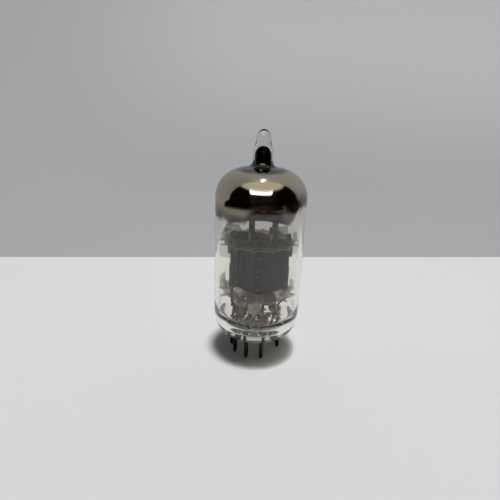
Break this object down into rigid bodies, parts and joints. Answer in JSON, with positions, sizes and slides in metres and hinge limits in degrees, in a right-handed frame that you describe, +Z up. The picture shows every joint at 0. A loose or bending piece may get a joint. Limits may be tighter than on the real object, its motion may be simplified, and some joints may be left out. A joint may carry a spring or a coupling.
{
  "type": "vacuum tube",
  "caption": "All-glass miniature vacuum tube: round bulb with a silvered dome and sealed tip, grey anode boxes between mica discs, and straight pins in a pressed glass base.",
  "frame": {"origin": "centre of the pin circle, on the plane of the pin tips", "axes": "+Z up the tube's axis from the pins to the exhaust tip; -Y is the side that the screen's staked flange faces; +X points to the first pin"},
  "size_m": [0.0212, 0.0212, 0.0547],
  "materials": {
    "bulb_glass": "clear blown glass, slightly grey",
    "stem_glass": "clear pressed glass with thick rounded edges",
    "pin_metal": "bare nickel-iron pin, dull and slightly tarnished",
    "getter_mirror": "silvery barium film that fades to brown at its edge",
    "nickel": "soft annealed nickel, satin",
    "dark_nickel": "darkened nickel strip",
    "getter_residue": "dark powdery residue",
    "mica": "pale translucent mica with a silky sheen",
    "anode_grey": "matt dark grey carbonised nickel",
    "cathode_white": "white oxide coating on a nickel sleeve",
    "heater_white": "white alumina coating on tungsten wire",
    "copper_rod": "bare copper rod, slightly pink",
    "grid_wire": "fine bright wire",
    "lead_nickel": "nickel wire, stained brown near the welds"
  },
  "bodies": {
    "root": {"bulb": "bulb_glass", "stem_button": "stem_glass", "pin_1": "pin_metal", "pin_2": "pin_metal", "pin_3": "pin_metal", "pin_4": "pin_metal", "pin_5": "pin_metal", "pin_6": "pin_metal", "pin_7": "pin_metal", "pin_8": "pin_metal", "pin_9": "pin_metal", "getter_film": "getter_mirror", "getter_ring": "nickel", "getter_residue": "getter_residue", "getter_strap_left": "nickel", "getter_strap_right": "nickel", "mica_upper": "mica", "mica_lower": "mica", "anode_left_front": "anode_grey", "grid_rod_left_front": "copper_rod", "anode_left_back": "anode_grey", "grid_rod_left_back": "copper_rod", "cathode_left": "cathode_white", "heater_left": "heater_white", "grid_winding_left": "grid_wire", "lead_anode_left": "lead_nickel", "lead_grid_left": "lead_nickel", "lead_cathode_left": "lead_nickel", "lead_heater_left": "lead_nickel", "anode_right_front": "anode_grey", "grid_rod_right_front": "copper_rod", "anode_right_back": "anode_grey", "grid_rod_right_back": "copper_rod", "cathode_right": "cathode_white", "heater_right": "heater_white", "grid_winding_right": "grid_wire", "lead_anode_right": "lead_nickel", "lead_grid_right": "lead_nickel", "lead_cathode_right": "lead_nickel", "lead_heater_right": "lead_nickel", "screen_plate": "anode_grey", "deck_strip": "dark_nickel", "lower_shield": "nickel", "lead_screen": "lead_nickel", "heater_link": "lead_nickel"}
  },
  "joints": []
}
